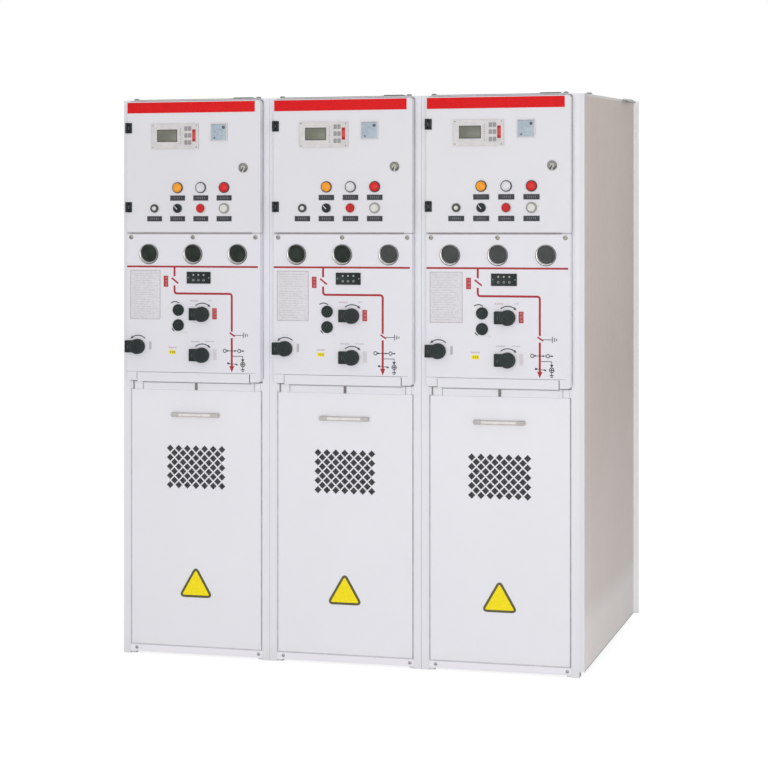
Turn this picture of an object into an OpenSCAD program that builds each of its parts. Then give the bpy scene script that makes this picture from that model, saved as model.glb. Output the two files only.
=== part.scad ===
// Row of three solid insulated ring main unit cabinets, in millimetres.
// +X runs right along the front, +Y into the depth, +Z up; the origin is on the floor, in the middle.

/* [Cabinet] */
// Width from one cabinet's left edge to the next one's
pitch = 420; // [400:5:600]
// Air gap between two cabinets
cabinet_gap = 0.6; // [0.4:0.1:0.8]
// Depth from the face of the front posts to the back
depth = 860; // [600:10:1200]
// Height of the roof above the floor
height = 1509; // [1480:1:1850]
// Thickness of the cabinet sheets
sheet = 2; // [1.5:0.1:3]

/* [Posts] */
// Width of the front lip of a post
post_w = 20; // [16:1:24]
// Depth of the front lip, from its face to the rebate
rebate = 6; // [6:1:10]
// Width of the post behind the rebate
post_back_w = 34; // [30:1:40]
// Depth of a front or rear post
post_d = 30; // [20:1:60]
// Height of the side walls' lower edge
wall_z = 16; // [5:1:20]

/* [Doors and panels] */
// How far the doors and operating panels stand in front of the posts
proud = 25; // [20:1:40]
// Gap from the cabinet's side to the door and the operating panel
side_margin = 18; // [14:1:18]
// Thickness of the door, panel and cover sheets
skin = 2; // [1.5:0.1:3]
// Clearance all round a moving piece
clear_gap = 5; // [5:0.5:8]
// Height of the seam between the instrument door and the operating panel
seam_z = 1147; // [1140:1:1160]
// Lower edge of the operating panel
panel_z = 747; // [740:1:752]
// Distance from the roof down to the top of the door
door_drop = 5; // [5:1:15]
// Radius of the door's upper corners and the panel's lower corners
corner_r = 9; // [4:1:12]

/* [Hinges] */
// Distance from the door's top edge down to the upper hinge's centre
hinge_high_drop = 71.5; // [40:0.5:90]
// Distance from the door's bottom edge up to the lower hinge's centre
hinge_low_rise = 68; // [40:0.5:90]
// Length of a hinge
hinge_h = 28; // [24:1:40]
// Width of the hinge leaf on the door
hinge_w = 17; // [14:1:24]
// Radius of the hinge barrel
barrel_r = 4; // [3.5:0.5:5]
// Radius of the hinge pin
pin_r = 2; // [1.5:0.1:2.5]
// Running clearance of the pin in the moving knuckles
pin_clear = 0.08; // [0.05:0.01:0.1]

/* [Instruments] */
// Distance from the door's top edge down to the protection relay's centre
relay_drop = 95; // [90:1:120]
// Place of the relay's centre, from the cabinet's centre line
relay_off = -51; // [-60:1:-40]
// Width of the relay's front
relay_w = 136; // [100:1:165]
// Height of the relay's front
relay_h = 69; // [50:1:85]
// Distance from the door's top edge down to the meter's centre
meter_drop = 85; // [80:1:110]
// Place of the meter's centre, from the cabinet's centre line
meter_off = 75; // [65:0.5:100]
// Side of the square meter
meter_w = 48; // [40:1:60]

/* [Controls] */
// Place of the first column of controls, from the cabinet's centre line
control_off = -110; // [-120:1:-100]
// Distance between two columns of controls
control_step = 66.5; // [50:0.5:80]
// Distance from the door's bottom edge up to the lamps
lamp_rise = 120.5; // [112:0.5:140]
// Radius of a lamp's bezel
lamp_r = 15; // [12:0.5:16]
// Distance from the door's bottom edge up to the switches and buttons
button_rise = 64.5; // [55:0.5:68]
// Radius of the hole behind each control
device_r = 11; // [8:0.1:11.2]
// Distance from the door's bottom edge up to the lock
lock_rise = 175; // [150:0.5:190]
// Distance from the door's right edge to the lock's centre
lock_inset = 50; // [30:1:60]
// Radius of the lock's rosette
lock_r = 13; // [11.5:0.5:16]

/* [Operating panel] */
// Distance from the panel's top edge down to the three windows
window_drop = 52.5; // [46:0.5:60]
// Distance between two windows
window_step = 127; // [80:1:140]
// Outer radius of a window ring
ring_r = 28; // [24.5:0.5:32]
// Radius of the glass that shows in the ring
glass_r = 22.5; // [18:0.5:22.5]
// Distance from the panel's top edge down to the voltage display's centre
display_drop = 117.5; // [112:0.5:125]
// Place of the display's centre, from the cabinet's centre line
display_off = 17; // [0:1:40]
// Width of the display
display_w = 68; // [50:1:82]
// Height of the display
display_h = 32; // [24:1:40]
// Place of the round knobs, from the cabinet's centre line
knob_off = -41; // [-50:1:-38]
// Distance from the panel's top edge down to the upper round knob
knob_high_drop = 205; // [195:0.5:206]
// Distance from the panel's top edge down to the lower round knob
knob_low_drop = 246; // [242:0.5:260]
// Radius of a round knob
knob_r = 16; // [14:0.5:18]
// How far a round knob stands in front of the panel
knob_t = 6; // [4:1:24]

/* [Paddles] */
// Radius of a paddle's hub
hub_r = 20.5; // [17:0.5:24.5]
// Height of a paddle's square tab
tab_h = 33; // [27:1:40]
// Reach of the tab from the hub's centre
tab_reach = 34.5; // [32:0.1:46]
// Thickness of a paddle
paddle_t = 10; // [8:1:20]
// Place of the upper and lower paddles, from the cabinet's centre line
paddle_off = 27; // [24:1:45]
// Distance from the panel's top edge down to the upper paddle
paddle_high_drop = 216; // [205:0.5:220]
// Distance from the panel's top edge down to the lower paddle
paddle_low_drop = 326; // [318:0.5:330]
// Distance from the panel's left edge to the left paddle
paddle_side_inset = 33.5; // [30:0.5:40]
// Distance from the panel's top edge down to the left paddle
paddle_side_drop = 305; // [290:0.5:310]

/* [Cable cover] */
// Upper edge of the cable cover
cover_top_z = 721; // [700:1:724]
// Height of the seam between the cable cover and the kick strip
kick_seam_z = 26.5; // [24:0.5:40]
// Lower edge of the kick strip
kick_z = 6; // [3:1:10]
// How far the cable cover stands in front of the posts
cover_proud = 1; // [0:0.5:2]
// Depth of the cover's returns
return_d = 20; // [16:1:26]
// How far the cover's tongue lies behind the posts' face
tongue_y = 3; // [1:0.5:4]
// Distance of the tongue from the cabinet's sides
tongue_inset = 50; // [40:1:80]
// Height of the handle
handle_z = 655; // [640:1:670]
// Length of the handle
handle_l = 136; // [100:1:180]
// Height of the handle's bar
handle_h = 12; // [8:0.5:14]
// Height of the vent's centre
vent_z = 513; // [480:1:530]
// Distance between two diamonds of the vent
vent_step = 24.8; // [22:0.1:26]
// Width of the sheet left between two diamonds
vent_bar = 3.5; // [3:0.1:6]
// Diamonds in a long row of the vent
vent_columns = 7; // [3:1:9]
// Long rows of diamonds in the vent
vent_rows = 5; // [2:1:7]

/* [End cover] */
// Thickness of the end cover on the right
end_t = 13; // [8:1:30]
// Reach of the end cover's rear flange past its side face
end_flange = 15; // [5:1:20]
// Depth of the end cover's rear flange
end_flange_t = 3; // [2:1:6]
// How far the end cover's upper edge rises from front to back
end_rise = 28; // [0:1:40]

/* [Hidden] */
$fn = 64;

// Colours
white = "#e4e5ea";
inner_white = "#d9dadd";
black = "#262e2e";

// Cabinets and their outer sizes
cabinets = 3;
cab_w = pitch - cabinet_gap;
mid_x = cab_w / 2;
row_w = cabinets * pitch + end_t + end_flange;
touch = 0.2;                                   // gap of a piece that rests on its seat
over = 1;                                      // how far a cut reaches past a surface

// Door and panel faces
face_y = -proud;
panel_w = cab_w - 2 * side_margin;
door_z = seam_z + clear_gap / 2;
panel_top_z = seam_z - clear_gap / 2;
door_top_z = height - door_drop;
apron_gap = 1;                                 // groove round the apron
apron_inset = 30;                              // from the panel's edge to the apron
apron_x = side_margin + apron_inset;
apron_h = 24;
apron_lip = 2;                                 // from the panel's lower edge down to the apron's
apron_z = panel_z - apron_lip;

// Hinges
hinge_air = 0.5;                               // from a barrel to the door's face and side
hinge_x = side_margin + barrel_r / 2;
hinge_y = face_y - barrel_r - hinge_air;
hinge_zs = [door_z + hinge_low_rise, door_top_z - hinge_high_drop];
leaf_t = 2;
knuckle = hinge_h / 3;
knuckle_gap = 0.3;

// Devices on the door
relay_x = mid_x + relay_off;
relay_z = door_top_z - relay_drop;
meter_x = mid_x + meter_off;
meter_z = door_top_z - meter_drop;
control_x = mid_x + control_off;
lamp_z = door_z + lamp_rise;
button_z = door_z + button_rise;
lock_x = cab_w - side_margin - lock_inset;
lock_z = door_z + lock_rise;
front_t = 4;                                   // the instruments' rim in front of the door
bezel_t = 5;
lens_t = 9;
device_back = 30;
instrument_back = 34;
instrument_rim = 4;
cut_clear = 0.2;
lens_rim = 2;                                  // from a lamp's bezel in to its lens
switch_r = 11.5;
switch_tip_r = 6;
switch_tip_t = 7;
selector_r = 12.5;
selector_grip_r = 10;
selector_grip_t = 12;
button_rs = [13.5, 14];                        // rings of the two push buttons
button_cap_r = 11;
lock_t = 3;
lock_core_r = 9;
lock_core_t = 6;

// Operating panel's devices
window_z = panel_top_z - window_drop;
ring_t = 6;
ring_back = 8;
ring_wall = 2;
glass_sink = 4;                                // from the ring's front to the glass
glass_t = 8;
display_x = mid_x + display_off;
display_z = panel_top_z - display_drop;
display_t = 3;
display_rim = 4;
display_back = 20;
knob_x = mid_x + knob_off;
knob_zs = [panel_top_z - knob_high_drop, panel_top_z - knob_low_drop];
shaft_r = 5;
shaft_clear = 0.05;
shaft_end = 1;                                 // from the shafts' ends to the posts' face

// Paddles
paddle_x = mid_x + paddle_off;
paddle_high_z = panel_top_z - paddle_high_drop;
paddle_low_z = panel_top_z - paddle_low_drop;
paddle_side_x = side_margin + paddle_side_inset;
paddle_side_z = panel_top_z - paddle_side_drop;
tab_sink = 2;                                  // the tab lies behind the hub's face

// Cable cover
cover_x = post_w + clear_gap;
cover_z = kick_seam_z + clear_gap / 2;
kick_top_z = kick_seam_z - clear_gap / 2;
return_x = post_back_w + clear_gap;
rail_h = 40;
lift_rail_drop = 6;                            // from the cover's upper edge down to the rail behind it
lift_rail_z = cover_top_z - lift_rail_drop;
return_top_z = lift_rail_z - clear_gap;
lap = 4;                                       // the tongue's lap below the cover's upper edge
tongue_z = apron_z - clear_gap;
latch_w = 7;
latch_t = 3;
latch_lift = 1;                                // from the cover's upper edge to the latch
handle_out = 14;
handle_end = 22;
handle_bar = 6;
diamond = vent_step / sqrt(2) - vent_bar;      // side of one diamond

// Roof
bolt_x = 33;                                   // roof bolts, from the cabinet's sides
bolt_y = 24;
bolt_r = 5.5;
bolt_h = 5;
washer_r = 8;
washer_t = 1.5;
plate_x = [316, 368];
plate_y = [8, 60];
plate_t = 4;

// Front and back of everything, for the origin
front_out = proud + max(knob_t, clear_gap + paddle_t);
mid_y = (depth - front_out) / 2;

module in_row(k) translate([k * pitch - row_w / 2, -mid_y, 0]) children();
module each_cabinet() for (k = [0:cabinets - 1]) in_row(k) children();
// a box from one corner to the opposite one
module span(a, b) translate(a) cube(b - a);
// a round bar along +Y from y0 to y1
module bar(x, z, r, y0, y1) translate([x, y0, z]) rotate([-90, 0, 0]) cylinder(r = r, h = y1 - y0);
module both_sides() { children(); translate([cab_w, 0, 0]) mirror([1, 0, 0]) children(); }

// ---- fixed frame ----

module post_profile() {
    square([post_w, rebate]);
    translate([0, rebate]) square([post_back_w, post_d - rebate]);
}
module front_posts() color(white) each_cabinet() both_sides()
    linear_extrude(height - sheet) post_profile();

module rear_posts() color(white) each_cabinet() both_sides()
    span([0, depth - post_d, 0], [post_back_w, depth - sheet, height - sheet]);

module side_walls() color(white) each_cabinet() both_sides()
    span([0, post_d, wall_z], [sheet, depth - post_d, height - sheet]);

module roofs() color(white) each_cabinet()
    span([0, 0, height - sheet], [cab_w, depth, height]);

module rear_covers() color(white) each_cabinet()
    span([0, depth - sheet, wall_z], [cab_w, depth, height - sheet]);

module rail(y0, y1, z0, z1) span([post_back_w, y0, z0], [cab_w - post_back_w, y1, z1]);
module frame_rails() color(inner_white) each_cabinet() {
    rail(rebate, post_d, kick_z, cover_z - touch);
    rail(tongue_y + skin + clear_gap, post_d, lift_rail_z, panel_z + rail_h);
    rail(rebate, post_d, seam_z - rail_h / 2, seam_z + rail_h / 2);
    rail(rebate, post_d, height - sheet - rail_h, height - sheet);
    rail(depth - post_d, depth - sheet, kick_z, kick_z + rail_h);
    span([sheet, post_d, wall_z], [cab_w - sheet, depth - post_d, wall_z + sheet]);
}

module compartment_walls() color(inner_white) each_cabinet() {
    span([sheet, post_d, seam_z + rail_h / 2 - sheet],
         [cab_w - sheet, depth - post_d, seam_z + rail_h / 2]);
    span([sheet, depth / 2, seam_z + rail_h / 2], [cab_w - sheet, depth / 2 + sheet, height - sheet]);
}

module switch_modules() color("#a9703c") each_cabinet()
    span([sheet, post_d, panel_z + rail_h], [cab_w - sheet, depth - post_d, seam_z + rail_h / 2 - sheet]);

// the end cover's outline seen from the side, made smaller all round by trim
module end_outline(trim) polygon([
    [trim, wall_z + trim], [depth - trim, wall_z + trim],
    [depth - trim, height + end_rise - trim], [trim, height - trim]
]);
// turns a shape drawn in Y and Z into a sheet from x0 to x1
module upright(x0, x1) translate([x0, 0, 0]) rotate([90, 0, 90]) linear_extrude(x1 - x0) children();
module end_cover() color(white) in_row(cabinets) {
    difference() {
        upright(-cabinet_gap, end_t) end_outline(0);
        upright(-cabinet_gap - over, end_t - sheet) end_outline(sheet);
    }
    upright(end_t, end_t + end_flange) intersection() {
        end_outline(0);
        translate([depth - end_flange_t, 0]) square([end_flange_t, height + end_rise]);
    }
}

// ---- fixed front ----

// outline of a pan, w by h, with its two lower corners rounded
module pan_outline(w, h, r) {
    translate([0, r]) square([w, h - r]);
    translate([r, 0]) square([w - 2 * r, r]);
    for (x = [r, w - r]) translate([x, r]) circle(r);
}
// a shallow pan of sheet, open at the back, back_gap clear of the posts; top_round rounds its upper corners
module pan(z0, z1, back_gap, top_round) {
    h = z1 - z0;
    translate([side_margin, -back_gap, z0]) rotate([90, 0, 0]) difference() {
        linear_extrude(proud - back_gap) turned(h, top_round) pan_outline(panel_w, h, corner_r);
        translate([0, 0, -over]) linear_extrude(proud - back_gap - skin + over) turned(h, top_round)
            translate([skin, skin]) pan_outline(panel_w - 2 * skin, h - 2 * skin, corner_r - skin);
    }
}
module turned(h, flip) translate([0, flip ? h : 0]) mirror([0, flip ? 1 : 0]) children();
module operating_panel(k) color(white) in_row(k) difference() {
    pan(panel_z, panel_top_z, 0, false);
    span([apron_x, face_y - over, panel_z - over], [cab_w - apron_x, over, panel_z + apron_h]);
    for (i = [-1:1]) bar(mid_x + i * window_step, window_z, glass_r + ring_wall, face_y - over, over);
    display_box(display_rim, -over, proud + over);
    for (z = knob_zs) bar(knob_x, z, shaft_r + shaft_clear, face_y - over, over);
    paddle_places() bar(0, 0, shaft_r + shaft_clear, face_y - over, over);
}
module paddle_places() {
    translate([paddle_x, 0, paddle_high_z]) children();
    translate([paddle_x, 0, paddle_low_z]) children();
    translate([paddle_side_x, 0, paddle_side_z]) children();
}

module aprons() color(white) each_cabinet()
    span([apron_x + apron_gap, face_y, apron_z],
         [cab_w - apron_x - apron_gap, tongue_y + skin + clear_gap, panel_z + apron_h - apron_gap]);

module kick_strips() color(white) each_cabinet()
    span([post_w + touch, 0, kick_z], [cab_w - post_w - touch, rebate - touch, kick_top_z]);

module window_rings() color("silver") each_cabinet() for (i = [-1:1])
    difference() {
        union() {
            bar(mid_x + i * window_step, window_z, ring_r, face_y - ring_t, face_y);
            bar(mid_x + i * window_step, window_z, glass_r + ring_wall - touch, face_y, face_y + ring_back);
        }
        bar(mid_x + i * window_step, window_z, glass_r, face_y - ring_t - over, face_y + ring_back + over);
    }
module window_glasses() color("#3c443c") each_cabinet() for (i = [-1:1])
    bar(mid_x + i * window_step, window_z, glass_r - touch / 2,
        face_y - ring_t + glass_sink, face_y - ring_t + glass_sink + glass_t);

// the display's box, made smaller all round by trim, between two depths behind the panel's face
module display_box(trim, y0, y1)
    span([display_x - display_w / 2 + trim, face_y + y0, display_z - display_h / 2 + trim],
         [display_x + display_w / 2 - trim, face_y + y1, display_z + display_h / 2 - trim]);
module voltage_displays() color(black) each_cabinet() {
    display_box(0, -display_t, 0);
    display_box(display_rim + cut_clear, 0, display_back);
}

module round_knobs() color(black) each_cabinet() for (z = knob_zs) {
    bar(knob_x, z, knob_r, face_y - knob_t, face_y);
    bar(knob_x, z, shaft_r, face_y, -shaft_end);
}

// ---- hinges: the fixed leaf holds the pin and the middle knuckle ----

module hinge_places() for (z = hinge_zs) translate([hinge_x, hinge_y, z]) children();
module hinge_leaves() color(black) each_cabinet() hinge_places() {
    translate([0, 0, -hinge_h / 2]) cylinder(r = pin_r, h = hinge_h);
    translate([0, 0, -knuckle / 2]) cylinder(r = barrel_r, h = knuckle);
    span([side_margin - hinge_x - hinge_air - leaf_t, 0, -knuckle / 2],
         [side_margin - hinge_x - hinge_air, -hinge_y, knuckle / 2]);
}

module roof_fittings() color("#5c6066") each_cabinet() {
    for (x = [bolt_x, cab_w - bolt_x]) translate([x, bolt_y, height]) {
        cylinder(r = washer_r, h = washer_t);
        translate([0, 0, washer_t]) cylinder(r = bolt_r, h = bolt_h, $fn = 6);
    }
    span([plate_x[0], plate_y[0], height], [plate_x[1], plate_y[1], height + plate_t]);
}

// ---- instrument door ----

module instrument_door(k) color(white) in_row(k) difference() {
    pan(door_z, door_top_z, clear_gap, true);
    case_box(relay_x, relay_z, relay_w, relay_h, instrument_rim, -over, proud + over);
    case_box(meter_x, meter_z, meter_w, meter_w, instrument_rim, -over, proud + over);
    device_places() bar(0, 0, device_r + cut_clear, face_y - over, over);
}
module device_places() {
    for (i = [1:3]) translate([control_x + i * control_step, 0, lamp_z]) children();
    for (i = [0:3]) translate([control_x + i * control_step, 0, button_z]) children();
    translate([lock_x, 0, lock_z]) children();
}
module door_hinges(k) color(black) in_row(k) hinge_places() difference() {
    for (z = [knuckle / 2 + knuckle_gap, -hinge_h / 2]) {
        translate([0, 0, z]) cylinder(r = barrel_r, h = knuckle - knuckle_gap);
        translate([0, -hinge_y + face_y - leaf_t, z])
            cube([hinge_w - barrel_r, leaf_t, knuckle - knuckle_gap]);
    }
    translate([0, 0, -hinge_h]) cylinder(r = pin_r + pin_clear, h = 2 * hinge_h);
}

// a w by h box centred at x and z, smaller all round by trim, between two depths behind the door's face
module case_box(x, z, w, h, trim, y0, y1)
    span([x - w / 2 + trim, face_y + y0, z - h / 2 + trim],
         [x + w / 2 - trim, face_y + y1, z + h / 2 - trim]);
module instrument(x, z, w, h) {
    case_box(x, z, w, h, 0, -front_t, 0);
    case_box(x, z, w, h, instrument_rim + cut_clear, 0, instrument_back);
}
module instruments(k) color("#e6e2da") in_row(k) {
    instrument(relay_x, relay_z, relay_w, relay_h);
    instrument(meter_x, meter_z, meter_w, meter_w);
}

module device(rim_r, rim_t, cap_r, cap_t) {
    bar(0, 0, rim_r, face_y - rim_t, face_y);
    bar(0, 0, cap_r, face_y - cap_t, face_y);
    bar(0, 0, device_r, face_y, face_y + device_back);
}
module controls(k) color("#8d9194") in_row(k) {
    for (i = [1:3]) translate([control_x + i * control_step, 0, lamp_z])
        device(lamp_r, bezel_t, lamp_r - lens_rim, lens_t);
    translate([control_x, 0, button_z]) device(switch_r, bezel_t, switch_tip_r, switch_tip_t);
    translate([control_x + control_step, 0, button_z])
        device(selector_r, bezel_t, selector_grip_r, selector_grip_t);
    for (i = [0, 1]) translate([control_x + (i + 2) * control_step, 0, button_z])
        device(button_rs[i], bezel_t, button_cap_r, lens_t);
    translate([lock_x, 0, lock_z]) device(lock_r, lock_t, lock_core_r, lock_core_t);
}

// ---- cable cover ----

module cable_cover(k) color(white) in_row(k) difference() {
    union() {
        span([cover_x, -cover_proud, cover_z], [cab_w - cover_x, skin - cover_proud, cover_top_z]);
        both_sides() span([return_x, -cover_proud, cover_z], [return_x + skin, return_d, return_top_z]);
        span([return_x, -cover_proud, cover_z], [cab_w - return_x, return_d, cover_z + skin]);
        span([return_x, -cover_proud, return_top_z - skin], [cab_w - return_x, return_d, return_top_z]);
        span([tongue_inset, tongue_y, cover_top_z - lap],
             [cab_w - tongue_inset, tongue_y + skin, tongue_z]);
        span([tongue_inset, -cover_proud, cover_top_z - skin],
             [cab_w - tongue_inset, tongue_y + skin, cover_top_z]);
    }
    vent_diamonds();
}
module vent_diamonds() translate([mid_x, over + skin, vent_z]) rotate([90, 0, 0])
    linear_extrude(skin + cover_proud + 2 * over) {
    for (i = [0:vent_columns - 1], j = [0:vent_rows - 1]) diamond_at(i - (vent_columns - 1) / 2,
                                                                     j - (vent_rows - 1) / 2);
    for (i = [0:vent_columns - 2], j = [0:vent_rows - 2]) diamond_at(i - (vent_columns - 2) / 2,
                                                                     j - (vent_rows - 2) / 2);
}
module diamond_at(i, j) translate([i * vent_step, j * vent_step]) rotate(45) square(diamond, center = true);

module handle_part(x0, x1, depth_y)
    span([x0, -cover_proud - handle_out, handle_z - handle_h / 2],
         [x1, -cover_proud - handle_out + depth_y, handle_z + handle_h / 2]);
module cover_fittings(k) color("#a9acae") in_row(k) {
    both_sides() handle_part(mid_x - handle_l / 2, mid_x - handle_l / 2 + handle_end, handle_out);
    handle_part(mid_x - handle_l / 2, mid_x + handle_l / 2, handle_bar);
    span([mid_x - latch_w / 2, tongue_y - latch_t, cover_top_z + latch_lift],
         [mid_x + latch_w / 2, tongue_y, tongue_z]);
}

// ---- paddles ----

module paddle() color(black) {
    back = face_y - clear_gap;
    bar(0, 0, hub_r, back - paddle_t, back);
    span([-tab_reach, back - paddle_t + tab_sink, -tab_h / 2], [0, back, tab_h / 2]);
    bar(0, 0, shaft_r, back, -shaft_end);
}
module paddle_upper(k) in_row(k) translate([paddle_x, 0, paddle_high_z]) paddle();
module paddle_lower(k) in_row(k) translate([paddle_x, 0, paddle_low_z]) paddle();
module paddle_side(k) in_row(k) translate([paddle_side_x, 0, paddle_side_z]) paddle();

front_posts();
rear_posts();
side_walls();
roofs();
rear_covers();
frame_rails();
compartment_walls();
switch_modules();
aprons();
kick_strips();
window_rings();
window_glasses();
voltage_displays();
round_knobs();
hinge_leaves();
roof_fittings();
end_cover();
operating_panel(0);  // operating_panel_left
operating_panel(1);  // operating_panel_middle
operating_panel(2);  // operating_panel_right
instrument_door(0);  // instrument_door_left
instrument_door(1);  // instrument_door_middle
instrument_door(2);  // instrument_door_right
instruments(0);  // instruments_left
instruments(1);  // instruments_middle
instruments(2);  // instruments_right
controls(0);  // controls_left
controls(1);  // controls_middle
controls(2);  // controls_right
door_hinges(0);  // door_hinges_left
door_hinges(1);  // door_hinges_middle
door_hinges(2);  // door_hinges_right
cable_cover(0);  // cable_cover_left
cable_cover(1);  // cable_cover_middle
cable_cover(2);  // cable_cover_right
cover_fittings(0);  // cover_fittings_left
cover_fittings(1);  // cover_fittings_middle
cover_fittings(2);  // cover_fittings_right
paddle_upper(0);  // paddle_upper_left
paddle_upper(1);  // paddle_upper_middle
paddle_upper(2);  // paddle_upper_right
paddle_lower(0);  // paddle_lower_left
paddle_lower(1);  // paddle_lower_middle
paddle_lower(2);  // paddle_lower_right
paddle_side(0);  // paddle_side_left
paddle_side(1);  // paddle_side_middle
paddle_side(2);  // paddle_side_right
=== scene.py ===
import bpy
import math
from mathutils import Matrix, Vector


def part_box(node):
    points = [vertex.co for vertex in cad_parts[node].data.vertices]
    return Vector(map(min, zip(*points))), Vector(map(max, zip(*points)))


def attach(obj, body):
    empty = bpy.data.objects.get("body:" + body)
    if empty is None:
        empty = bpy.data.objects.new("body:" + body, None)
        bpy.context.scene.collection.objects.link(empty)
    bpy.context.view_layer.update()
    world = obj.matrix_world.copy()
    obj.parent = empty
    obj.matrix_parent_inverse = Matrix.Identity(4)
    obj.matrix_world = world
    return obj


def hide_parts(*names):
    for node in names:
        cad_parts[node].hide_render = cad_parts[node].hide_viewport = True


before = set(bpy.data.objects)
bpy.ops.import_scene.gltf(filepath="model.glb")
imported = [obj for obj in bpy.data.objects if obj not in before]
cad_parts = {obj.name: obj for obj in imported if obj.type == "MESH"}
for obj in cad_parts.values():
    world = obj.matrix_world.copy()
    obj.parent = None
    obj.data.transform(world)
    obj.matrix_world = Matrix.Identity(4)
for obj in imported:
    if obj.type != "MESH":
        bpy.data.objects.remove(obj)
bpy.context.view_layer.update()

print("frame loaded:", len(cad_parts), "nodes")

mm = 0.001
flush = 0.02  # how far a loose plate or line stands off its sheet, in mm
flatAngle = 10  # keeps big flat sheets free of shading
tiny = 0.00001
sides = ["left", "middle", "right"]
onRow, onDoor, onCover = "cabinet_row", "instrument_door_{}", "cable_cover_{}"

# the pieces are modelled on the left cabinet and copied one and two pitches to the right
panelLow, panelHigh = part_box("operating_panel_left")
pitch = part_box("operating_panel_middle")[0].x - panelLow.x
middleX = (panelLow.x + panelHigh.x) / 2

# the faces that pieces are set on
door, panel, cover, post = (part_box(name)[0].y for name in (
    "instrument_door_left", "operating_panel_left", "cable_cover_left", "front_posts"))
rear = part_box("rear_covers")[1].y


def spot(face, u, z, out):
    # u runs right from the cabinet's middle line, z up from the floor, out towards the viewer from a face
    return Vector((middleX + u * mm, face - out * mm, z * mm))


def about(u, z, width, height):
    # the left, right, lower and upper edge of an oblong round a point
    return u - width / 2, u + width / 2, z - height / 2, z + height / 2


def bearing(u, z, radius, angle):
    # a point away from (u, z); angles are clockwise from straight up
    turn = math.radians(angle)
    return u + radius * math.sin(turn), z + radius * math.cos(turn)


def arc(u, z, radius, fromAngle, toAngle, steps=14):
    return [bearing(u, z, radius, fromAngle + (toAngle - fromAngle) * i / steps) for i in range(steps + 1)]


def ring(u, z, radius, steps=28):
    return arc(u, z, radius, 0, 360 - 360 / steps, steps - 1)


def leaveEdit():
    bpy.ops.object.mode_set(mode="OBJECT")


def clearSelection():
    if bpy.context.object is not None and bpy.context.object.mode != "OBJECT":
        leaveEdit()
    bpy.ops.object.select_all(action="DESELECT")


def pick(piece):
    clearSelection()
    piece.select_set(True)
    bpy.context.view_layer.objects.active = piece


def editAll(action="SELECT"):
    bpy.ops.object.mode_set(mode="EDIT")
    bpy.ops.mesh.select_all(action=action)


def editOnly(parts, test):
    # edit mode with only the faces or vertices that pass a test selected
    editAll("DESELECT")
    leaveEdit()
    for part in parts():
        part.select = test(part)
    bpy.ops.object.mode_set(mode="EDIT")


def extrude(*move):
    bpy.ops.mesh.extrude_region_move(TRANSFORM_OT_translate={"value": Vector(move) * mm})


def resize(wide, tall, place):
    bpy.ops.transform.resize(value=(wide, 1, tall), center_override=place)


def rotate(angle, place, axis="Y"):
    bpy.ops.transform.rotate(value=angle, orient_axis=axis, center_override=place)


def merge():
    bpy.ops.mesh.remove_doubles(threshold=tiny)
    editAll()


def facesOut():
    editAll()
    bpy.ops.mesh.normals_make_consistent(inside=False)
    leaveEdit()


def applied(location=False, rotation=False, scale=False):
    bpy.ops.object.transform_apply(location=location, rotation=rotation, scale=scale)
    return bpy.context.object


def modified(piece, kind, **settings):
    # adds a modifier and applies it
    pick(piece)
    modifier = piece.modifiers.new(kind.lower(), kind)
    for name, value in settings.items():
        setattr(modifier, name, value)
    bpy.ops.object.modifier_apply(modifier=modifier.name)
    return piece


def cuboid(face, u0, u1, z0, z1, out0, out1):
    clearSelection()
    bpy.ops.mesh.primitive_cube_add(size=mm, location=spot(face, (u0 + u1) / 2, (z0 + z1) / 2, (out0 + out1) / 2))
    bpy.context.object.scale = (u1 - u0, out1 - out0, z1 - z0)
    return applied(scale=True)


def softened(piece, width, segments=2):
    # rounds the sharp edges
    sharp = {"limit_method": "ANGLE", "angle_limit": math.radians(35)}
    return modified(piece, "BEVEL", width=width * mm, segments=segments, **sharp)


def block(face, u0, u1, z0, z1, out0, out1, edge=0.4, segments=2):
    return softened(cuboid(face, u0, u1, z0, z1, out0, out1), edge, segments)


def framed(face, u0, u1, z0, z1, out0, out1, rim, sink, edge=0.4):
    # a block whose front is sunk inside a rim
    piece = cuboid(face, u0, u1, z0, z1, out0, out1)
    editOnly(lambda: piece.data.polygons, lambda polygon: polygon.normal.y < -0.9)
    bpy.ops.mesh.inset(thickness=rim * mm)
    bpy.ops.transform.translate(value=(0, sink * mm, 0))
    leaveEdit()
    return softened(piece, edge)


def disc(face, u, z, out, radius, segments, fill="NGON"):
    clearSelection()
    bpy.ops.mesh.primitive_circle_add(
        vertices=segments, radius=radius * mm, fill_type=fill, location=spot(face, u, z, out),
        rotation=(math.pi / 2, 0, 0))
    return applied(rotation=True)


def turned(face, u, z, profile, segments=40, hollow=False):
    # a round piece: each step of the profile is (radius, out), or (radius, out, shiftU, shiftZ)
    radius, out = profile[0][:2]
    piece = disc(face, u, z, out, radius, segments, "NOTHING" if hollow else "NGON")
    editAll()
    for nextRadius, nextOut, *shift in profile[1:]:
        du, dz = shift or (0, 0)
        u, z = u + du, z + dz
        extrude(du, out - nextOut, dz)
        resize(nextRadius / radius, nextRadius / radius, spot(face, u, z, nextOut))
        radius, out = nextRadius, nextOut
    if hollow:  # the last ring is joined to the first one
        bpy.ops.mesh.select_all(action="DESELECT")
        bpy.ops.mesh.select_mode(type="EDGE")
        bpy.ops.mesh.select_non_manifold()
        bpy.ops.mesh.bridge_edge_loops()
        bpy.ops.mesh.select_mode(type="VERT")
    leaveEdit()
    return piece


def stood(u, depth, z, profile, segments=24):
    # a round piece tipped back to stand on the roof, whose profile is (radius, height above z)
    piece = turned(post, u, z, profile, segments)
    editAll()
    rotate(math.pi / 2, spot(post, u, z, 0), "X")
    bpy.ops.transform.translate(value=(0, depth * mm, 0))
    leaveEdit()
    return piece


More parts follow.
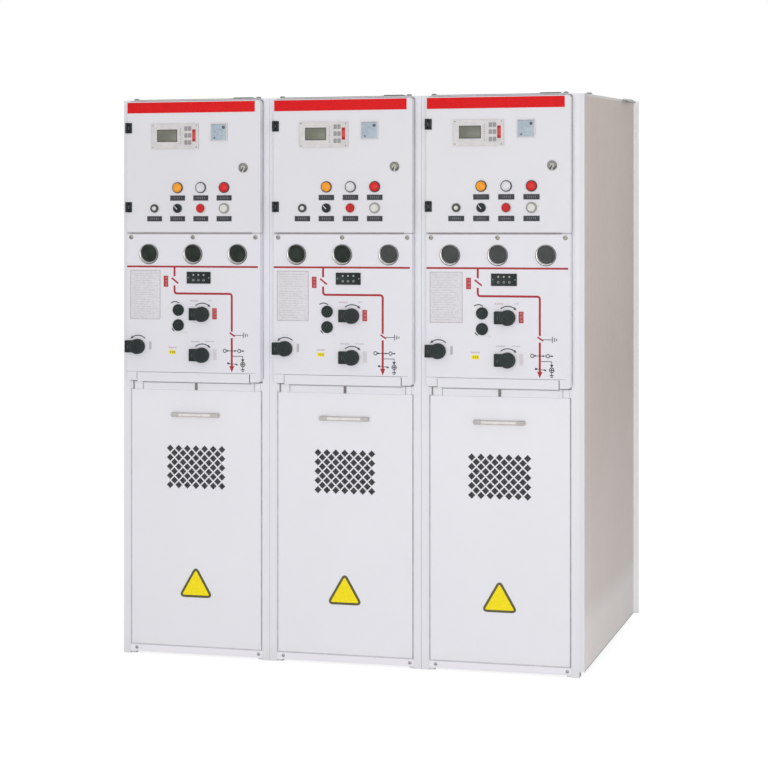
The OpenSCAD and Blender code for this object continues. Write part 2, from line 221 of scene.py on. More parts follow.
def crossings(points, width, closed):
    # a line's crossing at each point, mitred at corners: (point, angle, half its length)
    count = len(points)
    found = []
    for i in range(count):
        here = Vector(points[i])
        back = (here - Vector(points[i - 1])) if i > 0 or closed else None
        ahead = (Vector(points[(i + 1) % count]) - here) if i < count - 1 or closed else None
        back = (back or ahead).normalized()
        ahead = (ahead or back).normalized()
        square = Vector((-back.y, back.x))
        across = (square + Vector((-ahead.y, ahead.x))).normalized()
        found.append((here, math.atan2(across.y, across.x), width / 2 / max(0.3, across.dot(square))))
    return found + found[:1] * closed


def inkLine(face, points, width, closed=False, out=0.3, under=0.04):
    # a flat line of one width: a short edge is drawn along the points (u, z), turned at each, then thickened
    steps = crossings(points, width, closed)
    here, angle, reach = steps[0]
    place = spot(face, *here, under)
    clearSelection()
    bpy.ops.mesh.primitive_plane_add(size=mm, location=place, rotation=(math.pi / 2, 0, 0))
    editAll()
    resize(reach * 2, 0, place)  # flat, so that it merges to an edge
    merge()
    rotate(angle, place)
    for there, nextAngle, nextReach in steps[1:]:
        place = spot(face, *there, under)
        extrude(there.x - here.x, 0, there.y - here.y)
        if abs(nextAngle - angle) > tiny:
            rotate(nextAngle - angle, place)
        if abs(nextReach / reach - 1) > tiny:
            resize(nextReach / reach, nextReach / reach, place)
        here, angle, reach = there, nextAngle, nextReach
    editAll()
    if closed:
        merge()
    extrude(0, under - out, 0)
    leaveEdit()
    return bpy.context.object


def numeral(face, text, u, z, size, out=0.5):
    clearSelection()
    bpy.ops.object.text_add(location=spot(face, u, z, out - 0.15), rotation=(math.pi / 2, 0, 0))
    figure = bpy.context.object.data
    figure.body, figure.size, figure.extrude = text, size * mm, 0.15 * mm
    figure.align_x, figure.align_y, figure.resolution_u = "CENTER", "CENTER", 3
    bpy.ops.object.convert(target="MESH")
    return bpy.context.object


def painted(piece, *names):
    piece.data.materials.clear()
    for name in names:
        piece.data.materials.append(paints[name])
    return piece


def finished(piece, paint, angle=38):
    # place applied, faces outwards, smooth but for the edges
    pick(piece)
    applied(True, True, True)
    editAll()
    merge()
    facesOut()
    bpy.ops.object.shade_smooth_by_angle(angle=math.radians(angle))
    return painted(piece, paint)


def ready(model):
    # the same model in its paint, which is named first
    return lambda paint, *shape, **more: finished(model(*shape, **more), paint)


slab, rimmed, lathed, drawn, digits = (ready(model) for model in (block, framed, turned, inkLine, numeral))


def tilted(paint, face, u, z, degrees, *shape):
    # a block turned about (u, z), clockwise seen from the front
    piece = block(face, *shape)
    editAll()
    rotate(-math.radians(degrees), spot(face, u, z, 0))
    leaveEdit()
    return finished(piece, paint)


def bothSides(paint, u0, u1, *shape):
    # a row for each(), and the same row on the left of the middle line
    return (paint, u0, u1, *shape), (paint, -u1, -u0, *shape)


def each(kind, face, rows):
    # pieces of one kind on one face; each row is a paint and what the kind takes after the face
    return [kind(paint, face, *shape) for paint, *shape in rows]


def joined(pieces):
    clearSelection()
    for piece in pieces:
        piece.select_set(True)
    bpy.context.view_layer.objects.active = pieces[0]
    if len(pieces) > 1:
        bpy.ops.object.join()
    return bpy.context.object


def foldedSheet(nodeName, bend, corner, upperRound, notch=0):
    # a merged copy of a pan whose outer front edges get the bend radius of folded sheet
    piece = bpy.data.objects.new(nodeName + "Copy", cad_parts[nodeName].data.copy())
    bpy.context.scene.collection.objects.link(piece)
    pick(piece)
    editAll()
    merge()
    low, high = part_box(nodeName)
    editOnly(lambda: piece.data.polygons, lambda p: p.normal.y < -0.99 and p.center.y < low.y + 0.00005)
    bpy.ops.mesh.select_mode(type="FACE")
    bpy.ops.mesh.inset(thickness=bend * 0.3 * mm)
    bpy.ops.mesh.inset(thickness=bend * 0.7 * mm)
    bpy.ops.mesh.select_mode(type="VERT")

    def fromOutline(co):
        across, up, down = min(co.x - low.x, high.x - co.x) / mm, (high.z - co.z) / mm, (co.z - low.z) / mm
        along = up if upperRound else down
        if across < corner and along < corner:
            return corner - math.hypot(corner - across, corner - along)
        return min(across, up, down)

    def onFold(co, reach):
        atFront = abs(co.y - low.y) < 0.00002
        return atFront and abs(fromOutline(co) - reach) < 0.06 and abs(co.x - middleX) > notch * mm

    for reach, back in ((0, bend), (bend * 0.3, bend * 0.3)):
        editOnly(lambda: piece.data.vertices, lambda vertex: onFold(vertex.co, reach))
        bpy.ops.transform.translate(value=(0, back * mm, 0))
    leaveEdit()
    return piece


def setOut(pieces, name, body, replaced=None, copies=3):
    # one piece a cabinet: each has its own mesh and rides on its own cabinet's body
    piece = joined(pieces)
    for k in range(copies):
        other = piece if k == 0 else bpy.data.objects.new(name, piece.data.copy())
        if k > 0:
            bpy.context.scene.collection.objects.link(other)
            other.data.transform(Matrix.Translation((k * pitch, 0, 0)))
        other.name = name + "_" + sides[k]
        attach(other, body.format(sides[k]))
        if replaced:
            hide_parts(replaced.format(sides[k]))


def tone(red, green, blue):
    # a display colour as the shader wants it
    parts = (red / 255, green / 255, blue / 255)
    return tuple(c / 12.92 if c <= 0.04045 else ((c + 0.055) / 1.055) ** 2.4 for c in parts) + (1,)


def shade(colour, factor):
    return tuple(c * factor for c in colour[:3]) + (1,)


def wired(tree, kind, inputs, **settings):
    # adds a node; each input is a number, a colour or another node's output
    node = tree.nodes.new("ShaderNode" + kind)
    for name, value in settings.items():
        setattr(node, name, value)
    for socket, value in inputs.items():
        if isinstance(value, bpy.types.NodeSocket):
            tree.links.new(value, node.inputs[socket])
        else:
            node.inputs[socket].default_value = value
    return node


def newMaterial(name, colour, roughness, specular=0.5, metallic=0):
    material = bpy.data.materials.new(name)
    material.use_nodes = True
    paints[name] = material
    look = {"Base Color": colour, "Roughness": roughness, "Metallic": metallic, "Specular IOR Level": specular}
    for socket, value in look.items():
        material.node_tree.nodes["Principled BSDF"].inputs[socket].default_value = value
    return material.node_tree


def placeOf(tree, stretch=(1, 1, 1)):
    place = wired(tree, "TexCoord", {}).outputs["Object"]
    return wired(tree, "Mapping", {"Vector": place, "Scale": stretch}).outputs["Vector"]


def cloud(tree, scale, detail=3, stretch=(1, 1, 1)):
    place = placeOf(tree, stretch)
    return wired(tree, "TexNoise", {"Vector": place, "Scale": scale, "Detail": detail}).outputs["Fac"]


def ranged(tree, value, low, high, toLow=0, toHigh=1):
    steps = {"Value": value, "From Min": low, "From Max": high, "To Min": toLow, "To Max": toHigh}
    return wired(tree, "MapRange", steps).outputs["Result"]


def patches(tree, scale, detail, low, high, toLow=0, toHigh=1):
    return ranged(tree, cloud(tree, scale, detail), low, high, toLow, toHigh)


def blended(tree, factor, first, second, mode="MIX"):
    return wired(tree, "Mix", {"Factor": factor, 6: first, 7: second}, data_type="RGBA", blend_type=mode).outputs[2]


def tinted(tree, colour, tint, factor=1):
    # a colour, or with a factor part of it, multiplied by a tint
    full = blended(tree, 1, colour, tint, "MULTIPLY")
    return full if factor == 1 else blended(tree, factor, colour, full)


def axes(tree, vector):
    return wired(tree, "SeparateXYZ", {"Vector": vector}).outputs


def dressed(tree, colour, rough=None, grain=None):
    # colour, roughness and (height, strength, distance) of the fine relief go to the shader
    sockets = tree.nodes["Principled BSDF"].inputs
    tree.links.new(colour, sockets["Base Color"])
    if rough is not None:
        tree.links.new(rough, sockets["Roughness"])
    if grain is not None:
        bump = wired(tree, "Bump", dict(zip(("Height", "Strength", "Distance"), grain)))
        tree.links.new(bump.outputs["Normal"], sockets["Normal"])


paints = {}
dustTone = tone(196, 190, 182)
# painted light: the folds behind a face are painted paler than the flat sheet
foldPaintedLight = 1.17  # folds catch more light than the flat sheet


def powderPaint(name, colour, low=dustTone, roughness=0.45, face=None):
    # baked powder coat: soft mottling, fine orange peel, a trace of dust at the floor, and folds behind a face
    # painted paler as painted light
    tree = newMaterial(name, colour, roughness, 0.4)
    if face is None:
        darker, paler, fleck = (shade(colour, factor) for factor in (0.99, 1.008, 0.86))
    else:
        # painted light: faces behind the front face are painted paler
        folded = ranged(tree, axes(tree, placeOf(tree))["Y"], face + 0.4 * mm, face + 1.2 * mm)
        colour = blended(tree, folded, colour, shade(colour, foldPaintedLight))
        darker, paler, fleck = (tinted(tree, colour, (f, f, f, 1)) for f in (0.99, 1.008, 0.86))
    mottled = blended(tree, patches(tree, 5, 4, 0.3, 0.7), darker, paler)
    mottled = blended(tree, patches(tree, 260, 2, 0.62, 0.75, 0, 0.1), mottled, fleck)
    nearFloor = ranged(tree, axes(tree, placeOf(tree))["Z"], 0, 0.05, 0.25, 0)
    streaks = ranged(tree, cloud(tree, 14, 5, (1, 1, 0.3)), 0.35, 0.7, 0.2)
    dust = wired(tree, "Math", {0: nearFloor, 1: streaks}, operation="MULTIPLY").outputs[0]
    dressed(tree, blended(tree, dust, mottled, low),
            patches(tree, 30, 4, 0.3, 0.7, roughness - 0.05, roughness + 0.07), (cloud(tree, 420, 2), 0.1, 0.0004))


def speckled(name, colour, roughness, specular, patch, shades, grain, rough=None):
    # a colour that comes a little darker and paler in patches, with a fine relief (scale, strength, distance)
    tree = newMaterial(name, colour, roughness, specular)
    dressed(tree, blended(tree, patches(tree, *patch), *(shade(colour, factor) for factor in shades)),
            patches(tree, *rough) if rough else None, (cloud(tree, grain[0], 2), *grain[1:]))


def mouldedPlastic(name, colour, roughness=0.45, grain=0.12, specular=0.4, scale=900):
    # fine sparked grain, handling shine that comes and goes
    speckled(name, colour, roughness, specular, (55, 4, 0.35, 0.7), (0.93, 1.06), (scale, grain, 0.0002),
             (80, 3, 0.3, 0.7, roughness - 0.08, roughness + 0.08))


def printedInk(name, colour, roughness=0.5, specular=0.3):
    # screen print: slightly uneven cover
    speckled(name, colour, roughness, specular, (320, 3, 0.4, 0.65), (0.92, 1.06), (700, 0.06, 0.0001))


def lampLens(name, colour):
    # clear coloured cap over a dull reflector
    speckled(name, colour, 0.42, 0.3, (130, 2, 0.35, 0.7), (0.86, 1.08), (500, 0.05, 0.0002))


def platedMetal(name, colour, roughness, stretch=(1, 1, 1), scale=60, grain=0.08):
    # plated or brushed metal: long fine streaks
    tree = newMaterial(name, colour, roughness, metallic=1)
    streak = cloud(tree, scale, 4, stretch)
    dressed(tree, blended(tree, ranged(tree, streak, 0.3, 0.7), shade(colour, 0.9), shade(colour, 1.05)),
            ranged(tree, streak, 0.3, 0.7, roughness - 0.05, roughness + 0.08), (streak, grain, 0.0002))


# each row is red, green, blue and what the kind of paint takes after its colour
powders = {
    "cabinetPaint": (224, 224, 230), "doorPaint": (221, 220, 225, dustTone, 0.45, door),
    # the post paint and the kick strips' paint are paler copies of the cabinet paint, painted light where the posts
    # beside the doors and the strips near the floor get less light
    "panelPaint": (224, 223, 229, dustTone, 0.45, panel), "postPaint": (226, 226, 231),
    "coverPaint": (229, 229, 234), "kickPaint": (235, 233, 239, tone(228, 226, 230)),
    "innerPaint": (212, 213, 217, dustTone, 0.5)}
plastics = {
    "castResin": (158, 92, 52, 0.35, 0.1, 0.5, 120), "blackPlastic": (26, 36, 36, 0.48, 0.15, 0.25),
    "labelPlastic": (52, 56, 62, 0.5, 0.08, 0.3), "instrumentPlastic": (211, 207, 207),
    # the seam greys and the edge grey are painted shade in the gaps and seams round the door and the panel and at
    # folds; the dark seam grey is also the gasket round the windows
    "lightRubber": (214, 214, 219, 0.7, 0.2, 0.2), "seamPale": (184, 180, 182, 0.7, 0.2, 0.2),
    "edgeGrey": (158, 154, 152, 0.7, 0.2, 0.2), "seamRubber": (84, 84, 86, 0.7, 0.2, 0.2),
    "tickGrey": (150, 146, 146, 0.6, 0.1, 0.2), "latchGrey": (124, 120, 116, 0.45, 0.05, 0.3),
    # the roof edge grey is painted shade, on a roof edge under its overhang
    "roofEdge": (150, 148, 148, 0.5), "washerGrey": (112, 106, 102, 0.5), "lockGrey": (136, 134, 127, 0.5),
    "lockCore": (186, 185, 174, 0.5), "keyGrey": (146, 146, 148, 0.55), "keyPale": (186, 184, 186, 0.55),
    "keyRed": (206, 70, 66, 0.5), "keyDarkRed": (140, 34, 34, 0.5), "bezelGrey": (72, 72, 76, 0.45, 0.05, 0.3),
    "bezelPale": (160, 158, 152, 0.5, 0.05, 0.3), "buttonRed": (194, 36, 38, 0.5, 0.05, 0.2),
    "buttonWhite": (219, 217, 212, 0.5, 0.05, 0.3), "knobBlue": (84, 84, 104, 0.4),
    "handleEnd": (190, 186, 183, 0.5, 0.12, 0.3), "handleBar": (230, 227, 225, 0.5, 0.12, 0.3),
    "handleRim": (198, 191, 186, 0.5, 0.12, 0.3)}
metals = {
    "zincSteel": (150, 152, 154, 0.38, (1, 1, 6)), "darkSteel": (96, 100, 100, 0.5),
    "chromeTrim": (170, 168, 166, 0.2, (1, 1, 1), 240, 0.03), "screwSteel": (150, 146, 140, 0.45, (1, 1, 1), 200),
    "paleZinc": (176, 176, 176, 0.45, (1, 1, 6)), "lowScrew": (168, 165, 167, 0.5, (1, 1, 6)),
    "paleBolt": (150, 148, 142, 0.5, (1, 1, 6))}
inks = {
    "signRed": (220, 33, 36, 0.62, 0.08), "mimicRed": (166, 38, 48), "plateRed": (184, 34, 40),
    "plateYellow": (248, 226, 8, 0.6), "plateRim": (92, 88, 52, 0.4), "markGrey": (74, 76, 80),
    "faintRed": (172, 108, 110), "faintGrey": (140, 140, 144), "whitePrint": (214, 212, 212),
    "labelInk": (150, 142, 144), "paperTone": (219, 216, 222, 0.6), "paperRim": (172, 168, 172),
    "ruleGrey": (207, 203, 207), "meterBlue": (170, 184, 194, 0.35), "meterMark": (140, 154, 170)}
lenses = {"lensAmber": (246, 160, 40), "lensWhite": (222, 221, 224), "lensRed": (218, 34, 34)}
for make, rows in ((powderPaint, powders), (mouldedPlastic, plastics), (platedMetal, metals), (printedInk, inks),
                   (lampLens, lenses)):
    for name, (red, green, blue, *look) in rows.items():
        make(name, tone(red, green, blue), *look)
print("paints, plastics, metals and inks made")

# the end cover's rise to the back, pale top band, painted shade at the bottom edge, painted light from the floor,
# paler front of the side and rear flange, in metres
endSheet = {
    "rise": 0.028, "rim": (0.008, 0.005), "lowEdge": (0.003, 0.0045), "floorLit": (0.12, 0.19), "paleFront": (0.095, 0.1),
    "flange": (0.02, 0.01)}


def endPaint():
    # the front lip white like the row and the rear flange painted whiter as painted light; the side painted a warmer
    # grey as painted shade, paler towards the floor as painted light from the floor
    tree = newMaterial("endPaint", tone(212, 200, 193), 0.5, 0.3)
    low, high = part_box("end_cover")
    place = axes(tree, placeOf(tree))
    # painted shade and light: the side's warm grey, paler towards the floor and near white in its lowest part, for
    # the light the floor throws up
    side = ranged(tree, place["Z"], low.z, high.z * 0.5)
    side = blended(tree, side, tone(246, 238, 233), tone(220, 207, 199))
    side = blended(tree, ranged(tree, place["Z"], *endSheet["floorLit"]), tone(255, 250, 247), side)
    # painted shade: darker towards the back
    side = tinted(tree, side, tone(226, 225, 226), ranged(tree, place["Y"], low.y, high.y, 0, 0.55))
    side = tinted(tree, side, tone(246, 245, 242), patches(tree, 3.2, 5, 0.35, 0.7, 0, 0.5))
    # the front of the side a little paler
    paleFront0, paleFront1 = endSheet["paleFront"]
    side = tinted(tree, side, (1.06, 1.05, 1.07, 1), ranged(tree, place["Y"], low.y + paleFront0, low.y + paleFront1, 0.6, 0))
    slope = endSheet["rise"] / (high.y - low.y)
    levelled = wired(tree, "Math", {0: place["Y"], 1: -slope, 2: place["Z"]}, operation="MULTIPLY_ADD").outputs[0]
    rim0, rim1 = (high.z - slope * high.y - down for down in endSheet["rim"])
    side = blended(tree, ranged(tree, levelled, rim0, rim1), side, tone(226, 226, 224))
    # painted shade: a grey line along the bottom edge
    edge0, edge1 = (low.z + up for up in endSheet["lowEdge"])
    side = blended(tree, ranged(tree, place["Z"], edge0, edge1, 1, 0), side, tone(196, 196, 198))
    # painted light: the rear flange whiter than the front lip
    flange0, flange1 = (high.y - forward for forward in endSheet["flange"])
    front = blended(tree, ranged(tree, place["Y"], flange0, flange1), tone(223, 223, 228), tone(252, 253, 255))
    # painted shade: faces turned to the side take the shaded side colours, faces turned to the front the front
    # colours
    facing = axes(tree, wired(tree, "NewGeometry", {}).outputs["Normal"])
    dressed(tree, blended(tree, ranged(tree, facing["X"], 0.4, 0.6), front, side),
            patches(tree, 30, 4, 0.3, 0.7, 0.45, 0.58), (cloud(tree, 420, 2), 0.1, 0.0004))


def darkGlass():
    # thick viewing glass, with the dark chamber behind it painted into its colour as painted shade
    tree = newMaterial("darkGlass", tone(38, 43, 40), 0.05, 0.12)
    dressed(tree, blended(tree, patches(tree, 45, 3, 0.35, 0.7), tone(36, 41, 38), tone(50, 57, 52)),
            patches(tree, 90, 3, 0.4, 0.7, 0.04, 0.11))


def screenGlass():
    # reflective display: dot grid under a dull film
    tree = newMaterial("screenGlass", tone(104, 106, 92), 0.3, 0.3)
    grid = {"Vector": placeOf(tree), "Scale": 1600, "Color1": tone(106, 108, 95), "Color2": tone(113, 116, 101)}
    dots = wired(tree, "TexChecker", grid).outputs
    film = patches(tree, 40, 3, 0.3, 0.7, 0, 0.5)
    dressed(tree, blended(tree, film, dots["Color"], tone(122, 122, 110)), grain=(dots["Fac"], 0.05, 0.0001))


def filterFelt():
    # dust filter behind the vent: crossed threads
    tree = newMaterial("filterFelt", tone(66, 67, 69), 0.9, 0.1)
    threads = [wired(tree, "TexWave", {"Vector": placeOf(tree, stretch), "Scale": 220, "Distortion": 1.5},
                     bands_direction=bands).outputs["Fac"] for stretch, bands in (((1, 1, 0), "X"), ((0, 1, 1), "Z"))]
    dressed(tree, blended(tree, patches(tree, 120, 3, 0.3, 0.7), tone(58, 59, 61), tone(84, 85, 86)),
            grain=(blended(tree, 0.5, *threads, "MULTIPLY"), 0.4, 0.0006))


def gradedEdge():
    # painted shade: a dark line for the shadow in the gap beside the door and the operating panel, darkest at the top
    # of the door and under the operating panel
    tree = newMaterial("gradedEdge", tone(190, 186, 186), 0.7, 0.2)
    shadeRamp = wired(tree, "ValToRGB", {"Fac": ranged(tree, axes(tree, placeOf(tree))["Z"], 0.75, 1.51)})
    stops = ((0, (150, 147, 147)), (0.22, (186, 183, 184)), (0.5, (212, 211, 214)), (0.56, (196, 194, 196)),
             (0.75, (168, 165, 166)), (1, (136, 132, 132)))
    elements = shadeRamp.color_ramp.elements
    while len(elements) < len(stops):
        elements.new(0.5)
    for element, (place, colour) in zip(elements, stops):
        element.position, element.color = place, tone(*colour)
    patchy = blended(tree, patches(tree, 60, 4, 0.3, 0.7, 0, 0.25), shadeRamp.outputs["Color"], tone(206, 203, 204))
    dressed(tree, patchy, grain=(cloud(tree, 900, 2), 0.2, 0.0002))


for make in (endPaint, darkGlass, screenGlass, filterFelt, gradedEdge):
    make()
print("special finishes made")

# the CAD nodes that stay get these finishes
kept = {
    # the posts and the kick strips get the paler paints, which are painted light
    "postPaint": ["front_posts"], "cabinetPaint": ["rear_posts", "side_walls", "roofs", "aprons"],
    "kickPaint": ["kick_strips"], "innerPaint": ["frame_rails", "compartment_walls"], "castResin": ["switch_modules"],
    "darkGlass": ["window_glasses"], "endPaint": ["end_cover"],
    "coverPaint": [onCover.format(side) for side in sides],
    "blackPlastic": ["hinge_leaves"] + ["door_hinges_" + side for side in sides]}
for paint, names in kept.items():
    for name in names:
        painted(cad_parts[name], paint)
print("CAD nodes finished")

doorSheet = {"bend": 1.5, "corner": 9, "upperRound": True}
sheet = finished(foldedSheet("instrument_door_left", **doorSheet), "doorPaint", flatAngle)
setOut([sheet], "door_sheet", onDoor, onDoor)

titleStrip = {"shape": (-189, 176.3, 1472.6, 1501.5, flush, 0.9, 0.3)}
setOut([slab("signRed", door, *titleStrip["shape"])], "title_strip", onDoor)

labels = {
    "columns": (-110, -43.5, 23, 89.5), "upperZ": 1242, "lowerZ": 1186, "size": (42.5, 14),
    "shape": (flush, 1.3, 1, 0.25, 0.2), "step": 5.2, "figure": (6.8, 1.35)}
columns = labels["columns"]
plates, figures = [], []
places = [(u, labels["upperZ"]) for u in columns[1:]] + [(u, labels["lowerZ"]) for u in columns]
for i, (u, z) in enumerate(places):
    plates.append(rimmed("labelPlastic", door, *about(u, z, *labels["size"]), *labels["shape"]))
    for n in range(-2, 3):
        figures.append(digits("labelInk", door, str(i + 1), u + n * labels["step"], z, *labels["figure"]))
setOut(plates, "label_plates", onDoor)
setOut(figures, "label_figures", onDoor)

level = 3.4  # where the instruments' sunk fronts lie
relay = {
    "case": (-51, 1409, 136, 69), "rim": (3.5, 0.6), "screwU": (-113, 11), "screwZ": (1379.5, 1438.5),
    "screw": [(1.9, 3.2), (1.9, 3.7), (1.3, 4.1), (0.2, 4.1)], "screen": (-72.6, 1410.7, 58, 33.3),
    "glass": (-72.6, 1410.7, 54.8, 30.1), "keysU": (-18.3, -7.6), "keysZ": (1429.2, 1411, 1392), "key": (8.6, 11.6),
    "redPlate": (4.4, 1410.7, 10, 32.8), "redKey": (6, 5.6), "redKeysZ": (1423, 1414.8, 1406.6, 1398.4),
    "dots": (-34.5, 1429, 40, 8), "dot": [(1.3, 3.2), (1.3, 3.7), (0.9, 4.1), (0.2, 4.2)]}
meter = {
    "case": (75, 1419, 48, 48), "rim": (2.2, 0.5), "face": (75, 1419, 43, 43), "pivot": (75, 1411),
    "scale": (15, 17.2, 50, 11), "knobs": ((88.8, 1431.5, 4.2), (63, 1403.5, 2.2))}
instruments = {"out": 4, "back": -34, "smaller": 8.4}  # the case behind the door is smaller than the front
cases = []
for device in (relay, meter):
    u, z, wide, tall = device["case"]
    front, less = about(u, z, wide, tall), instruments["smaller"]
    cases.append(rimmed("instrumentPlastic", door, *front, flush, instruments["out"], *device["rim"], 0.5))
    behind = about(u, z, wide - less, tall - less)
    cases.append(slab("instrumentPlastic", door, *behind, instruments["back"], 0.5, 1))
cases += [lathed("keyGrey", door, u, z, relay["screw"], 14) for u in relay["screwU"] for z in relay["screwZ"]]
setOut(cases, "instrument_cases", onDoor, "instruments_{}")

screen = [rimmed("labelPlastic", door, *about(*relay["screen"]), level - 0.2, level + 0.8, 1.3, 0.5, 0.2),
          slab("screenGlass", door, *about(*relay["glass"]), level, level + 0.42, 0.1)]
setOut(screen, "relay_screen", onDoor)

keys = [slab("keyGrey", door, *about(u, z, *relay["key"]), level - 0.2, level + 1.2, 0.8, 3)
        for u in relay["keysU"] for z in relay["keysZ"]]
keys.append(slab("keyRed", door, *about(*relay["redPlate"]), level - 0.2, level + 0.5, 0.3))
for z, paint in zip(relay["redKeysZ"], ("keyDarkRed", "keyRed", "keyRed", "keyDarkRed")):
    keys.append(slab(paint, door, *about(relay["redPlate"][0], z, *relay["redKey"]), level, level + 1.4, 0.7, 3))
u, top, span, count = relay["dots"]
for i in range(count):
    z = top - span * i / (count - 1)
    keys.append(lathed("keyGrey", door, u, z, relay["dot"], 14))
    keys.append(drawn("ruleGrey", door, [(u + 2.6, z), (u + 7.2, z)], 0.8, out=level + 0.08))
setOut(keys, "relay_keys", onDoor)

u, z = meter["pivot"]
inner, outer, sweep, count = meter["scale"]
u0, u1, z0, z1 = about(*meter["face"])
dial = [slab("meterBlue", door, u0, u1, z0, z1, level - 0.3, level + 0.25, 0.15),
        drawn("keyGrey", door, [(u0 + 1, z1 - 0.8), (u1 - 1, z1 - 0.8)], 1.2, out=level + 0.4),
        drawn("meterMark", door, arc(u, z, inner, -sweep, sweep), 0.6, out=level + 0.4)]
for i in range(count):
    tick = [bearing(u, z, radius, 2 * sweep * i / (count - 1) - sweep) for radius in (inner, outer)]
    dial.append(drawn("meterMark", door, tick, 0.5, out=level + 0.4))
dial.append(drawn("meterMark", door, [(u, z), (u - 11, z + 9.5)], 0.7, out=level + 0.6))
for u, z, r in meter["knobs"]:
    knob = [(r, level), (r, level + 1.2), (r * 0.8, level + 1.7), (r * 0.2, level + 1.7)]
    dial.append(lathed("knobBlue", door, u, z, knob, 20))
setOut(dial, "meter_face", onDoor)
print("instruments made")

# profiles are (radius, out) steps; every bezel starts with the stem that passes through the door
stem = [(9.8, -29), (10.8, -28), (10.8, flush)]
lamp = {
    "z": 1270, "bezel": [(15, 0.05), (15, 2.6), (14.7, 3.8), (13.7, 4.4), (12.8, 4.2), (12.6, 3)],
    "lens": [(12.5, 2.8), (12.5, 5.2), (12, 6.6), (11, 7.6), (9.5, 8), (9.2, 7.8), (8.8, 8.2), (6, 8.7), (3, 8.95),
        (0.4, 9)]}
button = {
    "z": 1214, "redBezel": [(13.5, 0.05), (13.5, 3.4), (12.9, 4.4), (12.1, 4.5), (11.9, 3)],
    "redCap": [(11.7, 2.8), (11.7, 6.2), (10.9, 7.6), (9.6, 8.2), (8, 8), (4, 7.7), (0.4, 7.6)],
    "whiteBezel": [(14.3, 0.05), (14.3, 3.4), (13.6, 4.6), (11, 4.6), (10.7, 3)],
    "whiteCap": [(10.4, 2.8), (10.4, 6.2), (9.8, 7.6), (8.6, 8.2), (7.2, 8), (4, 7.7), (0.4, 7.6)]}
smallSwitch = {
    "bezel": [(11.5, 0.05), (11.5, 3.6), (10.8, 4.8), (7.4, 5), (6.6, 3.2), (6.4, 2.6)],
    "cap": [(5.9, 2.4), (5.9, 5.6), (5.2, 6.6), (4.2, 6.9), (3.8, 6.4), (0.4, 6.3)]}
selector = {
    "bezel": [(12.5, 0.05), (12.5, 3.2), (11.9, 4.2), (10.6, 4.4), (10.4, 3.6)], "turn": -42,
    "dome": [(10.2, 3.4), (10, 6.5), (9.2, 7.4), (0.5, 7.5)], "grip": (5.6, 18), "pointer": (2.2, 11.7)}
lock = {
    "at": (143.5, 1322.6), "ring": [(13, 0.05), (13, 1.8), (12.2, 2.9), (9.2, 3.3), (6.9, 3.2), (6.5, 2.4)],
    "core": [(6.2, 1.4), (6.2, 3.2), (5.6, 3.8), (0.4, 3.9)], "turn": 30, "shadow": (10.2, 96, 166, 8)}
u0, u1, u2, u3 = columns
high, z = lamp["z"], button["z"]
bezels, caps = [], []
for u, lens in ((u1, "lensAmber"), (u2, "lensWhite"), (u3, "lensRed")):
    bezels.append(lathed("bezelGrey", door, u, high, stem + lamp["bezel"]))
    caps.append(lathed(lens, door, u, high, lamp["lens"]))
bezels += each(lathed, door, (
    ("bezelGrey", u0, z, stem + smallSwitch["bezel"]), ("bezelGrey", u1, z, stem + selector["bezel"]),
    ("blackPlastic", u1, z, selector["dome"]), ("instrumentPlastic", u2, z, stem + button["redBezel"]),
    ("bezelPale", u3, z, stem + button["whiteBezel"]), ("lockGrey", *lock["at"], stem + lock["ring"]),
    ("lockCore", *lock["at"], lock["core"], 32)))
caps += each(lathed, door, (
    ("buttonWhite", u0, z, smallSwitch["cap"], 28), ("buttonRed", u2, z, button["redCap"]),
    ("buttonWhite", u3, z, button["whiteCap"])))
grip, pointer = about(u1, z, *selector["grip"]), about(u1, z + 2.35, *selector["pointer"])
bezels.append(tilted("blackPlastic", door, u1, z, selector["turn"], *grip, 7, 12, 1.2, 3))
caps.append(tilted("whitePrint", door, u1, z, selector["turn"], *pointer, 11.6, 12.3, 0.2))
u, z = lock["at"]
bezels.append(tilted("bezelGrey", door, u, z, lock["turn"], u - 1.7, u + 1.7, z - 10.4, z + 1.2, 2.4, 4.2, 0.6))
bezels.append(drawn("bezelGrey", door, arc(u, z, *lock["shadow"]), 3.2, out=3.5, under=3))
caps.append(slab("instrumentPlastic", door, u - 1.4, u + 1.6, z - 12.6, z - 7.2, 2.2, 3.7, 0.4))
setOut(bezels, "control_bezels", onDoor, "controls_{}")
setOut(caps, "control_caps", onDoor)
print("controls made")

hinge = {
    "z": (1217.5, 1432.5), "u": (-185.1, -175.7), "half": 14, "out": (flush, 2.6, 0.6, 3), "screwU": -180.2,
    "screwsUp": (-9, 9), "screw": [(2.6, 2.4), (2.6, 3), (2, 3.5), (0.9, 3.6), (0.8, 3), (0.2, 3)]}
leaves = []
for z in hinge["z"]:
    leaves.append(slab("blackPlastic", door, *hinge["u"], z - hinge["half"], z + hinge["half"], *hinge["out"]))
    leaves += [lathed("blackPlastic", door, hinge["screwU"], z + up, hinge["screw"], 18) for up in hinge["screwsUp"]]
setOut(leaves, "hinge_covers", onDoor)

# the door's seams: pale strips fill the gaps at the top and bottom, grey strips are painted shade in the gaps beside
# the door, and a grey strip is painted shade in the seam under it, pale at its right end
doorSealAndShade = {
    "strips": (*bothSides("edgeGrey", 183.6, 190.6, 1150.4, 1503.2, -24, -19.8, 1),
        ("lightRubber", -190.6, 190.6, 1150.4, 1157.4, -24, -19.8, 1),
        ("lightRubber", -190.6, 190.6, 1496.2, 1503.2, -24, -19.8, 1),
        ("seamPale", -190.6, 168, 1147.6, 1149.7, -19.5, -0.5, 0.5),
        ("doorPaint", 168.2, 190.6, 1147.6, 1149.7, -19.5, -0.3, 0.3))}
setOut(each(slab, door, doorSealAndShade["strips"]), "door_seal_and_shade", onDoor)
print("door made")

